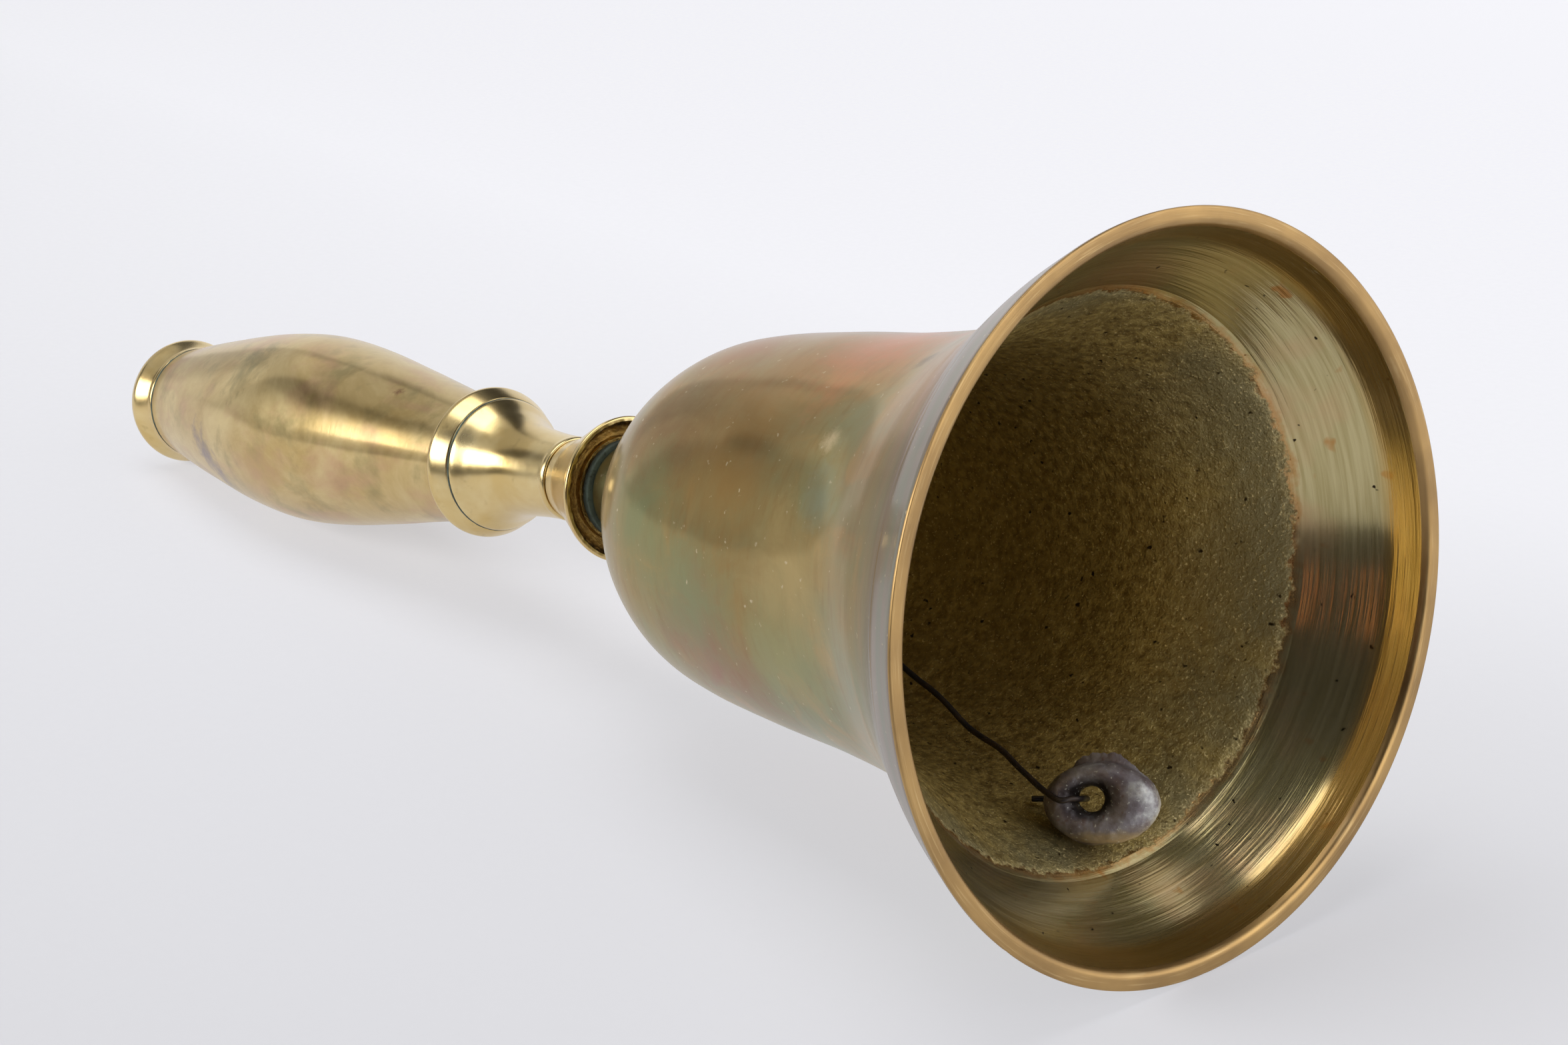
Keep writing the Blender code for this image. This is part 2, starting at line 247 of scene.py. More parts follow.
# each outline point also says which of the piece's materials its face takes
def spinOutline(name, outline, sides, materials, shape=None, sharp=34):
    closed = outline[0][0] > 0
    rows = len(outline)
    flat = [Vector(p[:2]) for p in outline]
    outward = []
    for row in range(rows):
        ahead = flat[(row + 1) % rows if closed else min(row + 1, rows - 1)]
        behind = flat[row - 1 if closed or row else 0]
        run = (ahead - behind).normalized()
        outward.append(Vector((-run.y, run.x)))
    points, faces, slots = [], [], []
    for column in range(sides):
        turn = 2 * math.pi * column / sides
        cosine, sine = math.cos(turn), math.sin(turn)
        for (radius, height, zone), facing in zip(outline, outward):
            shift = shape(turn, radius, height, zone) if shape and radius > 0 else 0.0
            far = (radius + facing.x * shift) * millimetre
            points.append((far * cosine, far * sine, (height + facing.y * shift) * millimetre))
    for column in range(sides):
        here, following = column * rows, (column + 1) % sides * rows
        for row in range(rows if closed else rows - 1):
            low = (row + 1) % rows
            faces.append((here + row, here + low, following + low, following + row))
            slots.append(outline[row][2])
    mesh = bpy.data.meshes.new(name)
    mesh.from_pydata(points, [], faces)
    mesh.polygons.foreach_set("material_index", slots)
    return finishMesh(name, mesh, materials, sharp)


def finishMesh(name, mesh, materials, sharp=34, place=bellPlace):
    built = bmesh.new()
    built.from_mesh(mesh)
    bmesh.ops.remove_doubles(built, verts=built.verts, dist=1e-7)
    bmesh.ops.dissolve_degenerate(built, edges=built.edges, dist=1e-8)
    bmesh.ops.recalc_face_normals(built, faces=built.faces)
    built.to_mesh(mesh)
    built.free()
    mesh.shade_smooth()
    mesh.set_sharp_from_angle(angle=math.radians(sharp))
    for material in materials:
        mesh.materials.append(material)
    mesh.transform(place)
    piece = bpy.data.objects.new(name, mesh)
    bpy.context.scene.collection.objects.link(piece)
    return piece


def fit(piece, body, slot, *nodes):
    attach(piece, body)
    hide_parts(*nodes)
    return piece


patina = {
    "brass": "A48D5A",
    "gold": "B5935A",
    "green": "8F8E64",
    "copper": "B9805A",
    "brown": "84683A",
    "lilac": "887B74",
    "grey": "7A7C70",
    "fleck": "CDBD9A",
    "roughness": 0.42,
    "glossRoughness": 0.1,
    "glossShare": 0.5,
    "marks": [
        ((15.0, -25.0, 60.0), 17.0, "967440"),
        ((18.0, -22.5, 78.0), 10.0, "8A6C44"),
        ((15.4, -28.3, 36.5), 4.2, "989A7C"),
        ((24.6, -21.0, 37.0), 5.0, "9C9770"),
        ((29.8, -5.0, 47.0), 12.0, "C77E54"),
        ((27.0, -7.0, 78.0), 9.0, "A4744E"),
        ((-12.6, -26.7, 64.8), 11.0, "9C6C54"),
        ((-4.0, -29.5, 66.0), 9.0, "8A8C64"),
        ((6.0, -27.0, 80.0), 9.0, "8A8C60"),
        ((2.9, -31.5, 41.0), 9.0, "B29C68"),
        ((-8.0, -29.5, 46.0), 8.0, "9C9664"),
        ((21.4, -23.3, 40.1), 1.7, "D2BD92"),
        ((30.8, -12.6, 32.2), 1.8, "7A5C33"),
    ],
}


def patinaMaterial():
    made, tree, shader = newMaterial("bellPatina")
    space = turnedSpace(tree)
    place = space["place"]
    cloud = speckle(tree, place, 24, 5, 0.6, 0.8)
    wash = speckle(tree, place, 60, 5, 0.65, 1.5)
    base = blendTones(tree, spread(tree, cloud, 0.4, 0.6), patina["green"], patina["brass"])
    base = blendTones(tree, spread(tree, wash, 0.52, 0.66, 0, 0.6), base, patina["gold"])
    streak = toolLines(tree, space, 0.0016, 5)
    base = blendTones(tree, spread(tree, streak, 0.5, 0.72, 0, 0.35), base, patina["brown"])
    base = blendTones(tree, spread(tree, streak, 0.5, 0.28, 0, 0.25), base, patina["green"])
    mottle = spread(tree, speckle(tree, place, 38, 5), 0.3, 0.7, -0.5, 0.5)
    topSide = calc(tree, "ADD", spread(tree, space["up"], 0.006, 0.031), mottle)
    base = blendTones(tree, spread(tree, topSide, 0.4, 1.2, 0, 0.45), base, patina["copper"])
    for centre, size, colour in patina["marks"]:
        stain = calc(tree, "MULTIPLY", markAt(tree, place, centre, size), 0.85)
        base = blendTones(tree, stain, base, colour)
    low = spread(tree, space["height"], 0.023, 0.009)
    nearLip = calc(tree, "ADD", low, calc(tree, "MULTIPLY", cloud, 0.2))
    rings = toolLines(tree, space, 0.004, 0.9)
    lipTone = blendTones(tree, spread(tree, rings, 0.42, 0.58), patina["lilac"], patina["grey"])
    base = blendTones(tree, spread(tree, nearLip, 0.3, 1.1, 0, 0.8), base, lipTone)
    away = calc(tree, "ABSOLUTE", calc(tree, "SUBTRACT", space["height"], 0.0079))
    groove = spread(tree, away, 0.00045, 0.0001)
    fading = spread(tree, speckle(tree, place, 40, 2), 0.42, 0.55)
    base = blendTones(tree, calc(tree, "MULTIPLY", groove, fading), base, patina["brown"])
    fleck = speckle(tree, place, 900, 2, 0.5)
    base = blendTones(tree, spread(tree, fleck, 0.70, 0.76, 0, 0.7), base, patina["fleck"])
    fine = toolLines(tree, space, 0.00028, 5)
    haze = spread(tree, cloud, 0.3, 0.7, patina["roughness"] - 0.05, patina["roughness"] + 0.08)
    bump = relief(tree, fine, 0.00002, 0.5)
    bump = relief(tree, speckle(tree, place, 260, 3), 0.00004, 0.3, bump)
    feed(tree, shader, Base_Color=base, Metallic=0.92, Roughness=haze, Normal=bump)
    gloss = calc(tree, "ADD", calc(tree, "MULTIPLY", fine, 0.05), patina["glossRoughness"])
    addGloss(tree, shader, base, gloss, bump, patina["glossShare"])
    return made


lipFinish = {"brass": "B99763", "worn": "D2B684", "dull": "9C7E54", "roughness": 0.36}


def lipMaterial():
    made, tree, shader = newMaterial("lipBrass")
    space = turnedSpace(tree)
    lines = toolLines(tree, space, 0.00022, 6, 1.0)
    cloud = speckle(tree, space["place"], 60, 4)
    base = blendTones(tree, spread(tree, cloud, 0.35, 0.65), lipFinish["brass"], lipFinish["dull"])
    base = blendTones(tree, spread(tree, lines, 0.55, 0.75, 0, 0.6), base, lipFinish["worn"])
    rough = spread(tree, lines, 0.2, 0.8, lipFinish["roughness"] - 0.06, lipFinish["roughness"] + 0.1)
    bump = relief(tree, lines, 0.00003, 0.6)
    feed(tree, shader, Base_Color=base, Metallic=1.0, Roughness=rough, Normal=bump)
    return made


insideFinish = {
    "bandHeight": 16.1,
    "band": "C3B688",
    "bandOlive": "A39461",
    "bandPink": "C9A27A",
    "bandRust": "B0742F",
    "pit": "2A2014",
    # cream colour of the painted highlight lines on the upper inner edge just behind the lip
    "highlightStreaks": "F0EAD8",
    "casting": "BFA968",
    "castingDark": "907A45",
    "lipGold": "C9A158",
    "castingGold": "F2E0A8",
    "castingPit": "33270F",
    "deposit": "8F8663",
}


def insideMaterial():
    made, tree, shader = newMaterial("bellInside")
    space = turnedSpace(tree)
    place = space["place"]
    wander = calc(tree, "SUBTRACT", speckle(tree, place, 420, 5, 0.7), 0.5)
    ragged = calc(tree, "MULTIPLY", wander, 0.004)
    level = calc(tree, "ADD", space["height"], ragged)
    edge = insideFinish["bandHeight"] * millimetre
    deep = spread(tree, level, edge - 0.0002, edge + 0.0003)

    lines = toolLines(tree, space, 0.0003, 4, -1.0)
    coarse = toolLines(tree, space, 0.0009, 2.2, -1.0)
    cloud = speckle(tree, place, 45, 4, 0.6)
    olive = spread(tree, coarse, 0.42, 0.62, 0, 0.6)
    band = blendTones(tree, olive, insideFinish["band"], insideFinish["bandOlive"])
    band = blendTones(tree, spread(tree, cloud, 0.5, 0.72, 0, 0.7), band, insideFinish["bandPink"])
    spot = speckle(tree, place, 230, 2, 0.5)
    band = blendTones(tree, spread(tree, spot, 0.68, 0.74, 0, 0.7), band, insideFinish["bandRust"])
    pit = spread(tree, speckle(tree, place, 700, 2, 0.5), 0.72, 0.75)
    band = blendTones(tree, pit, band, insideFinish["pit"])
    nearEdge = spread(tree, level, edge - 0.0012, edge - 0.0001, 0, 0.6)
    band = blendTones(tree, nearEdge, band, insideFinish["bandRust"])
    steep = spread(tree, space["height"], 0.0066, 0.005, 0, 0.6)
    band = blendTones(tree, steep, band, insideFinish["lipGold"])
    # painted highlight: thin cream lines on the upper inside just behind the lip, where the inner lip
    # edge catches the light
    highlightStreaks = toolLines(tree, space, 0.00035, 14, -1.0)
    low = spread(tree, space["height"], 0.005, 0.002)
    nearLip = calc(tree, "MULTIPLY", low, spread(tree, space["up"], 0.02, 0.04))
    paintedHighlight = calc(tree, "MULTIPLY", spread(tree, highlightStreaks, 0.62, 0.7), nearLip)
    band = blendTones(tree, paintedHighlight, band, insideFinish["highlightStreaks"])
    bandRough = spread(tree, lines, 0.2, 0.8, 0.1, 0.2)
    bandRough = calc(tree, "ADD", bandRough, spread(tree, cloud, 0.4, 0.7, 0, 0.05))
    bandBump = relief(tree, lines, 0.00001, 0.8)
    bandBump = relief(tree, coarse, 0.00005, 0.9, bandBump)
    shoulder = spread(tree, space["height"], edge - 0.0012, edge)  # the band's rounded inner edge
    bandBump = relief(tree, shoulder, 0.0003, 0.9, bandBump)

    grain = speckle(tree, place, 2300, 3, 0.6)
    lump = speckle(tree, place, 850, 4, 0.6)
    raised = spread(tree, lump, 0.35, 0.65)
    cast = blendTones(tree, raised, insideFinish["castingDark"], insideFinish["casting"])
    shade = spread(tree, speckle(tree, place, 90, 4, 0.6), 0.5, 0.7, 0, 0.5)
    cast = blendTones(tree, shade, cast, insideFinish["castingDark"])
    nearBand = spread(tree, space["height"], 0.038, 0.019)
    nearBand = calc(tree, "MULTIPLY", nearBand, spread(tree, cloud, 0.42, 0.6, 0.2, 0.9))
    cast = blendTones(tree, nearBand, cast, insideFinish["deposit"])
    cast = blendTones(tree, spread(tree, grain, 0.6, 0.7, 0, 0.8), cast, insideFinish["castingGold"])
    pit = spread(tree, speckle(tree, place, 620, 2), 0.68, 0.74)
    cast = blendTones(tree, pit, cast, insideFinish["castingPit"])
    fringe = spread(tree, level, edge + 0.0014, edge + 0.0002, 0, 0.35)
    fringe = calc(tree, "MULTIPLY", fringe, spread(tree, grain, 0.42, 0.55))
    cast = blendTones(tree, fringe, cast, insideFinish["castingGold"])
    castRough = spread(tree, lump, 0.3, 0.7, 0.4, 0.6)
    castBump = relief(tree, lump, 0.0003, 0.7)
    castBump = relief(tree, grain, 0.00016, 0.9, castBump)

    normal = addNode(tree, "Mix", {0: deep}, data_type="VECTOR")
    tree.links.new(bandBump, normal.inputs[4])
    tree.links.new(castBump, normal.inputs[5])
    feed(
        tree,
        shader,
        Base_Color=blendTones(tree, deep, band, cast),
        Metallic=blendValues(tree, deep, 1.0, 0.85),
        Roughness=blendValues(tree, deep, calc(tree, "ADD", bandRough, 0.28), castRough),
        Normal=normal.outputs[1],
    )
    share = spread(tree, deep, 0, 1, 0.78, 0)
    addGloss(tree, shader, blendTones(tree, deep, band, cast), bandRough, normal.outputs[1], share)
    return made


casting = {
    "mouthRadius": 50.0,
    "lipWidth": 2.3,
    "crown": 108.0,
    "bore": 3.4,
    "boss": (7.6, 121.0),
    "outside": [
        (7.6, 112.8),
        (12.6, 109.4),
        (20.4, 100.0),
        (25.7, 90.0),
        (28.0, 80.0),
        (29.5, 65.0),
        (30.5, 50.0),
        (32.5, 35.0),
        (36.2, 25.0),
        (41.0, 16.2),
        (46.1, 8.0),
        (49.7, 0.9),
    ],
    "inside": [
        (47.25, 1.0),
        (46.7, 3.0),
        (45.75, 5.6),
        (43.9, 8.5),
        (38.4, 16.2),
        (33.8, 25.0),
        (30.0, 35.0),
        (27.8, 50.0),
        (26.6, 65.0),
        (24.9, 80.0),
        (22.3, 90.0),
        (17.6, 98.5),
        (9.8, 107.3),
    ],
    "castRoughness": 0.13,
    "step": 0.08,
    "grooves": ((9.9, 0.05, 0.5), (7.9, 0.06, 0.25)),
}


def castingShape(turn, radius, height, zone):
    place = Vector((radius * math.cos(turn), radius * math.sin(turn), height))
    if zone == 0:
        shift = 0.05 * noise.noise(place / 16) + 0.012 * noise.noise(place / 4)
        for level, depth, width in casting["grooves"]:
            shift -= depth * math.exp(-(((height - level) / width) ** 2))
        return shift * min(1, max(0, (113 - height) / 4))
    if zone == 1:
        nick = max(0, noise.noise(place / 1.6) - 0.55)
        return -0.25 * nick
    wander = 0.35 * noise.noise(place / 3.0) + 0.4 * noise.noise(place / 0.9)
    deep = min(1, max(0, (height - insideFinish["bandHeight"] + wander) / 0.5))
    lumps = noise.fractal(place / 2.6, 1.0, 2.0, 4) * casting["castRoughness"]
    return 0.015 * noise.noise(place / 9) + deep * (casting["step"] + lumps)


def makeCasting():
    radius, lip = casting["mouthRadius"], casting["lipWidth"]
    bossRadius, bossTop = casting["boss"]
    bore = casting["bore"]
    outline = zoned([(bore, bossTop)], 0)
    outline += zoned(roundEdge((bore, bossTop), (bossRadius, bossTop), (bossRadius, 113), 0.5), 0)
    outline += zoned(curveThrough(casting["outside"], 12), 0)
    outline += zoned(roundEdge((49.7, 0.9), (radius, 0), (48, 0), 0.45), 1)
    outline += zoned([(radius - 0.9, 0), (radius - 1.3, 0)], 1)
    outline += zoned(roundEdge((48.5, 0), (radius - lip, 0), (47.3, 1.0), 0.75, 6), 1)
    outline += zoned(curveThrough(casting["inside"], 16), 2)
    outline += zoned([(7.0, casting["crown"]), (bore, casting["crown"])], 2)
    finishes = [patinaMaterial(), lipMaterial(), insideMaterial()]
    piece = spinOutline("bellCasting", outline, 384, finishes, castingShape)
    fit(piece, "bell", "bell_brass", "bell_shell")


makeCasting()
print("bell cast and turned")

polish = {"brass": "D2B679", "pale": "E0CB98", "warm": "C2A066", "dull": "A08A58", "roughness": 0.19}


def polishedMaterial():
    made, tree, shader = newMaterial("handleBrass")
    space = turnedSpace(tree)
    place = space["place"]
    cloud = speckle(tree, place, 90, 4, 0.6, 0.4)
    base = blendTones(tree, spread(tree, cloud, 0.35, 0.65), polish["brass"], polish["pale"])
    warm = spread(tree, speckle(tree, place, 45, 4), 0.5, 0.75, 0, 0.6)
    base = blendTones(tree, warm, base, polish["warm"])
    dull = spread(tree, speckle(tree, place, 420, 3), 0.62, 0.8, 0, 0.5)
    base = blendTones(tree, dull, base, polish["dull"])
    lines = toolLines(tree, space, 0.0003, 4)
    rough = spread(tree, cloud, 0.3, 0.7, polish["roughness"] - 0.03, polish["roughness"] + 0.07)
    rough = calc(tree, "ADD", rough, calc(tree, "MULTIPLY", lines, 0.05))
    bump = relief(tree, lines, 0.000012, 0.5)
    bump = relief(tree, speckle(tree, place, 300, 3), 0.00003, 0.3, bump)
    feed(tree, shader, Base_Color=base, Metallic=1.0, Roughness=rough, Normal=bump)
    return made


crust = {"green": "5C6A5E", "grey": "3E443B", "brown": "2B2419"}


def crustMaterial():
    made, tree, shader = newMaterial("verdigris")
    place = addNode(tree, "TexCoord").outputs["Object"]
    grain = speckle(tree, place, 900, 4, 0.65)
    cloud = spread(tree, speckle(tree, place, 160, 4), 0.35, 0.6)
    base = blendTones(tree, cloud, crust["green"], crust["grey"])
    base = blendTones(tree, spread(tree, grain, 0.55, 0.7, 0, 0.85), base, crust["brown"])
    feed(
        tree,
        shader,
        Base_Color=base,
        Metallic=0.1,
        Roughness=spread(tree, grain, 0.3, 0.7, 0.6, 0.9),
        Normal=relief(tree, grain, 0.0002, 0.8),
    )
    return made


pitted = {"bright": "D8B468", "dark": "2B2112", "mid": "86683A"}


def pittedMaterial():
    made, tree, shader = newMaterial("cupHollow")
    space = turnedSpace(tree)
    place = space["place"]
    lump = speckle(tree, place, 800, 5, 0.7)
    near = calc(tree, "ADD", space["radius"], calc(tree, "MULTIPLY", lump, 0.001))
    near = spread(tree, near, 0.0102, 0.0109)
    base = blendTones(tree, spread(tree, lump, 0.4, 0.62), pitted["dark"], pitted["mid"])
    base = blendTones(tree, spread(tree, lump, 0.54, 0.62, 0, 0.9), base, pitted["bright"])
    lines = spread(tree, toolLines(tree, space, 0.0004, 3, 1.0), 0.3, 0.7)
    machined = blendTones(tree, lines, pitted["bright"], pitted["mid"])
    bump = relief(tree, lump, 0.0006, 0.9)
    feed(
        tree,
        shader,
        Base_Color=blendTones(tree, near, machined, base),
        Metallic=0.95,
        Roughness=blendValues(tree, near, 0.25, spread(tree, lump, 0.3, 0.7, 0.3, 0.6)),
        Normal=bump,
    )
    return made


handleBrass = polishedMaterial()
greenCrust = crustMaterial()

handle = {
    "bore": 3.4,
    "cupTop": 135.6,
    "stemTop": 157.9,
    "collar": (12.95, 163.0),
    "cap": (271.0, 278.0),
    "washer": (8.2, 121.3, 1.3),
    "gap": 0.3,
}


def makeWasher():
    radius, low, thick = handle["washer"]
    bore, top = handle["bore"], low + thick
    outline = zoned([(bore, top)], 0)
    outline += zoned(roundEdge((bore, top), (radius, top), (radius, low), 0.3), 0)
    outline += zoned(roundEdge((radius, top), (radius, low), (bore, low), 0.3), 0)
    outline += zoned([(bore, low)], 0)

    def wear(turn, radius, height, zone):
        return 0.08 * noise.noise(Vector((math.cos(turn) * 9, math.sin(turn) * 9, height)))

    piece = spinOutline("bossWasher", outline, 128, [greenCrust], wear)
    fit(piece, "bell", "verdigris", "crown_washer")


cup = {
    "outside": [(6.95, 134.3), (7.35, 132.6), (8.5, 129.9), (10.6, 125.3), (11.6, 123.2)],
    "hollow": [(11.1, 121.95), (10.8, 122.6), (9.8, 123.8), (8.7, 123.9)],
    "pits": 0.12,
}


def makeCup():
    bore, top = handle["bore"], handle["cupTop"]
    seat = handle["washer"][1] + handle["washer"][2] + handle["gap"]
    outline = zoned([(bore, top)], 0)
    outline += zoned(roundEdge((bore, top), (6.75, top), (6.9, 134.6), 0.3), 0)
    outline += zoned(curveThrough(cup["outside"], 8), 0)
    outline += zoned(roundEdge((11.6, 123.2), (11.95, 122.0), (11.0, 121.9), 0.5, 6), 0)
    outline += zoned(curveThrough([*cup["hollow"], (8.5, seat)], 10), 1)
    outline += zoned([(bore, seat)], 1)

    def pits(turn, radius, height, zone):
        place = Vector((radius * math.cos(turn), radius * math.sin(turn), height))
        return zone * cup["pits"] * noise.fractal(place / 0.9, 1.0, 2.0, 3)

    piece = spinOutline("cupPiece", outline, 200, [handleBrass, pittedMaterial()], pits)
    fit(piece, "bell", "handle_brass", "cup_flange")


stemOutside = [
    (11.15, 157.3),
    (9.4, 154.2),
    (7.95, 149.7),
    (7.2, 143.5),
    (7.0, 138.0),
    (7.05, 136.7),
]


def makeStem():
    bore, top, bottom = handle["bore"], handle["stemTop"], handle["cupTop"] + handle["gap"]
    outline = zoned([(bore, top)], 0)
    outline += zoned(roundEdge((bore, top), (11.35, top), (11.2, 157.3), 0.25), 0)
    outline += zoned(curveThrough(stemOutside, 10), 0)
    outline += zoned(roundEdge((7.05, 136.7), (6.95, bottom), (bore, bottom), 0.35), 0)
    outline += zoned([(bore, bottom)], 0)
    fit(spinOutline("stemPiece", outline, 200, [handleBrass]), "bell", "handle_brass", "stem")


def makeCollar():
    bore, bottom = handle["bore"], handle["stemTop"] + handle["gap"]
    edge, top = handle["collar"]
    outline = zoned([(bore, top + 3), (7.9, top + 3), (7.9, top)], 0)
    outline += zoned(roundEdge((7.9, top), (12.5, top), (edge, top - 1.2), 0.6), 0)
    rim = roundEdge((12.9, top - 0.8), (edge + 0.05, top - 1.6), (11.7, bottom + 0.5), 0.55, 6)
    outline += zoned(rim, 0)
    outline += zoned(roundEdge((11.9, bottom + 0.8), (11.45, bottom), (bore, bottom), 0.3), 0)
    outline += zoned([(bore, bottom)], 0)
    fit(spinOutline("collarPiece", outline, 200, [handleBrass]), "bell", "handle_brass", "collar_ring")


def makeSeam(name, radius, height, size):
    outline = []
    for step in range(10):
        turn = 2 * math.pi * step / 10
        outline.append((radius + size * math.cos(turn), height - size * math.sin(turn) * 1.1, 0))

    def wear(turn, radius, height, zone):
        return 0.05 * noise.noise(Vector((math.cos(turn) * 14, math.sin(turn) * 14, height)))

    piece = spinOutline(name, outline, 160, [greenCrust], wear)
    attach(piece, "bell")


makeWasher()
makeCup()
makeStem()
makeCollar()
makeSeam("stemSeam", 11.2, 158.05, 0.22)
makeSeam("capSeam", 10.85, 270.85, 0.24)
print("handle turned")

grip = {
    "ends": (163.3, 270.7),
    "outside": [
        (11.1, 270.3),
        (12.8, 260.5),
        (14.5, 250.0),
        (16.7, 234.0),
        (17.6, 220.0),
        (16.7, 206.5),
        (14.35, 190.0),
        (12.0, 175.0),
        (10.5, 163.7),
    ],
    "inside": [(8.2, 167.5), (11.7, 190.0), (14.9, 220.0), (11.9, 250.0), (8.2, 266.0)],
    "brass": "C2A66C",
    "pale": "D6C08C",
    "olive": "97885A",
    "pink": "C39C78",
    "roughness": 0.4,
    "glossRoughness": 0.13,
    "marks": [
        ((-1.5, -15.6, 241.5), 3.2, "7E6E70"),
        ((-5.0, -15.2, 239.0), 3.6, "7E6E70"),
        ((-8.0, -13.5, 236.0), 3.0, "85746F"),
        ((11.6, -5.7, 180.9), 0.9, "7B4A38"),
        ((13.0, -9.0, 226.0), 6.0, "8E8358"),
    ],
}


def gripMaterial():
    made, tree, shader = newMaterial("gripBrass")
    space = turnedSpace(tree)
    place = space["place"]
    cloud = speckle(tree, place, 55, 5, 0.65, 0.5)
    base = blendTones(tree, spread(tree, cloud, 0.35, 0.62), grip["brass"], grip["pale"])
    olive = spread(tree, speckle(tree, place, 120, 4, 0.6), 0.52, 0.7, 0, 0.65)
    base = blendTones(tree, olive, base, grip["olive"])
    around = toolLines(tree, space, 0.012, 2.2)
    base = blendTones(tree, spread(tree, around, 0.5, 0.72, 0, 0.7), base, grip["pink"])
    for centre, size, colour in grip["marks"]:
        stain = calc(tree, "MULTIPLY", markAt(tree, place, centre, size, 0.8), 0.8)
        base = blendTones(tree, stain, base, colour)
    lines = toolLines(tree, space, 0.0004, 4)
    haze = spread(tree, cloud, 0.3, 0.7, grip["roughness"] - 0.05, grip["roughness"] + 0.08)
    bump = relief(tree, lines, 0.000015, 0.4)
    bump = relief(tree, speckle(tree, place, 180, 3), 0.00003, 0.25, bump)
    feed(tree, shader, Base_Color=base, Metallic=0.97, Roughness=haze, Normal=bump)
    gloss = calc(tree, "ADD", calc(tree, "MULTIPLY", lines, 0.05), grip["glossRoughness"])
    addGloss(tree, shader, base, gloss, bump, spread(tree, cloud, 0.3, 0.7, 0.65, 0.45))
    return made


def makeGrip():
    low, high = grip["ends"]
    outline = zoned([(8.2, high), (10.8, high)], 0)
    outline += zoned(curveThrough(grip["outside"], 14), 0)
    outline += zoned([(10.2, low), (8.2, low)], 0)
    outline += zoned(curveThrough(grip["inside"], 5), 0)

    def dents(turn, radius, height, zone):
        place = Vector((radius * math.cos(turn), radius * math.sin(turn), height))
        return 0.05 * noise.noise(place / 11) * min(1, max(0, (radius - 10.9) / 2))

    piece = spinOutline("gripBarrel", outline, 240, [gripMaterial()], dents)
    fit(piece, "bell", "grip_brass", "barrel_grip")


def makeCap():
    bore, (bottom, top) = handle["bore"], handle["cap"]
    outline = zoned([(5.0, top)], 0)
    outline += zoned(roundEdge((5.0, top), (11.9, top), (12.5, 276.0), 0.9, 6), 0)
    outline += zoned(roundEdge((12.2, 277.0), (12.5, 276.0), (12.1, 274.6), 0.7, 6), 0)
    waist = [(12.15, 274.9), (11.55, 273.4), (11.15, 272.2), (11.1, 271.6)]
    outline += zoned(curveThrough(waist, 6), 0)
    outline += zoned(roundEdge((11.1, 271.6), (11.0, bottom), (7.9, bottom), 0.3), 0)
    outline += zoned([(7.9, bottom), (7.9, bottom - 3), (bore, bottom - 3), (bore, top - 2.0)], 0)
    fit(spinOutline("endCapPiece", outline, 200, [handleBrass]), "bell", "handle_brass", "end_cap")


makeGrip()
makeCap()
print("grip and cap made")

steel = {"metal": "6E6A64", "rust": "5A3A22", "dark": "2E2B28", "roughness": 0.42}


def steelMaterial():
    made, tree, shader = newMaterial("dullSteel")
    space = turnedSpace(tree)
    place = space["place"]
    cloud = speckle(tree, place, 260, 5, 0.6)
    base = blendTones(tree, spread(tree, cloud, 0.4, 0.62), steel["metal"], steel["dark"])
    rust = spread(tree, speckle(tree, place, 500, 4), 0.55, 0.7, 0, 0.8)
    base = blendTones(tree, rust, base, steel["rust"])
    rough = spread(tree, cloud, 0.3, 0.7, steel["roughness"] - 0.08, steel["roughness"] + 0.2)
    feed(
        tree,
        shader,
        Base_Color=base,
        Metallic=0.9,
        Roughness=rough,
        Normal=relief(tree, cloud, 0.0001, 0.6),
    )
    return made


dullSteel = steelMaterial()
rod = {
    "radius": 3.0,
    "end": 100.4,
    "headRadius": 4.5,
    "pitch": 1.0,
    "threadLength": 9.0,
    "neck": 1.45,
    "chamber": 2.0,
}


def makeRod():
    radius, end, thread, top = rod["radius"], rod["end"], rod["threadLength"], handle["cap"][1]
    outline = [(0, top - 0.05, 0)]
    outline += zoned(curveThrough([(1.5, top - 0.08), (3.2, top - 0.2), (4.2, top - 0.45)], 5), 0)
    outline += zoned([(rod["headRadius"], top - 0.7), (radius, top - 2.0), (radius, end + thread)], 0)
    for step in range(int(thread / rod["pitch"] * 4)):
        crest = 0.0 if step % 4 in (0, 3) else -0.3
        outline.append((radius + crest, end + thread - 0.1 - step * rod["pitch"] / 4, 0))
    neck, chamber = rod["neck"], rod["chamber"]
    outline += zoned([(radius - 0.4, end), (neck + 0.15, end), (neck, end + 0.2), (neck, end + 1.5)], 0)
    outline += zoned([(chamber, end + 1.5), (chamber, end + 3.7), (0, end + 3.7)], 0)

    def hammered(turn, radius, height, zone):
        if height <= 277:
            return 0.0
        return 0.12 * noise.noise(Vector((radius * math.cos(turn), radius * math.sin(turn), 0)) / 1.3)

    piece = spinOutline("tieRodPiece", outline, 96, [dullSteel], hammered)
    fit(piece, "bell", "rod_steel", "tie_rod")


innerWasher = {"low": 106.5, "thick": 1.2, "radius": 7.0, "bore": 3.4}


